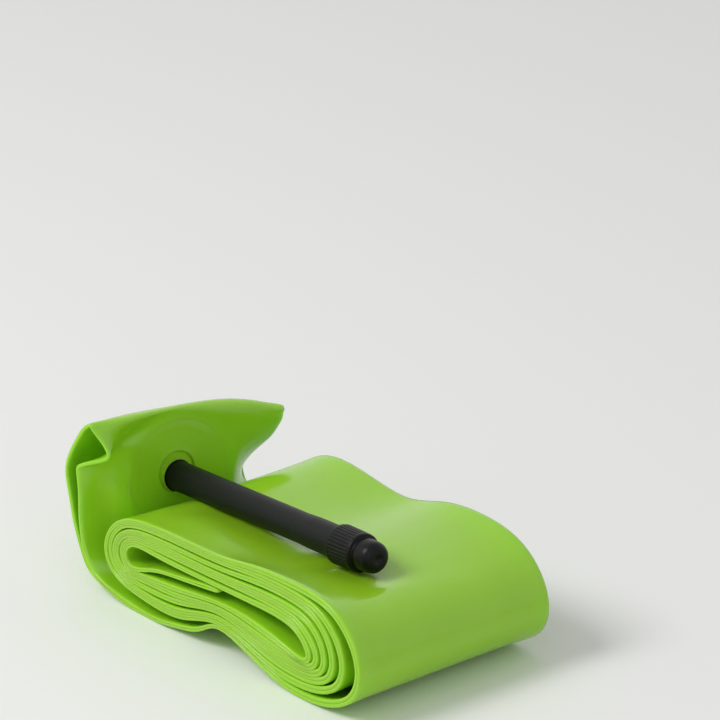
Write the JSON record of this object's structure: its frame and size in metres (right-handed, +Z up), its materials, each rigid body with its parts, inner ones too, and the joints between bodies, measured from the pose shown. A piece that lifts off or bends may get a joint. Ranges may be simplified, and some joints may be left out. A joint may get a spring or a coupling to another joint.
{
  "type": "bicycle inner tube",
  "caption": "Folded and rolled lightweight inner tube of glossy lime film, with a long black valve stem, a removable core, a lock nut and a ribbed dust cap lying over the roll.",
  "frame": {"origin": "on the surface the roll lies on, under the middle of its bounding box", "axes": "+X along the roll from the standing fold towards its free end, and roughly along the valve; +Y across the width of the tube, from the open spiral end; +Z up"},
  "size_m": [0.0912, 0.048, 0.0356],
  "materials": {
    "lime_film": "glossy, slightly translucent film",
    "lime_moulding": "smooth moulding",
    "black_stem": "satin moulding",
    "black_cap": "smooth moulding with fine ribs",
    "brass": "turned",
    "black_rubber": "matte"
  },
  "bodies": {
    "tube": {"tube_film": "lime_film", "valve_base_flange": "lime_moulding", "valve_stem": "black_stem", "stem_insert": "brass"},
    "valve_core": {"core_body": "brass", "core_gasket": "black_rubber"},
    "pin": {"valve_pin": "brass", "pin_seal": "black_rubber"},
    "lock_nut": {"lock_nut": "brass"},
    "cap": {"dust_cap": "black_cap"}
  },
  "joints": [
    {"name": "core_unscrew", "type": "slide", "parent": "tube", "child": "valve_core", "axis": [0.9964, -0.0452, 0.0715], "range_m": [0, 0.014]},
    {"name": "valve_press", "type": "slide", "parent": "valve_core", "child": "pin", "axis": [0.9964, -0.0452, 0.0715], "range_m": [-0.0013, 0]},
    {"name": "nut_unscrew", "type": "slide", "parent": "pin", "child": "lock_nut", "axis": [0.9964, -0.0452, 0.0715], "range_m": [0, 0.0026]},
    {"name": "cap_pull", "type": "slide", "parent": "valve_core", "child": "cap", "axis": [0.9964, -0.0452, 0.0715], "range_m": [0, 0.03]}
  ],
  "couplings": [
    {"joint": "valve_press", "follows": "nut_unscrew", "ratio": -0.5}
  ]
}
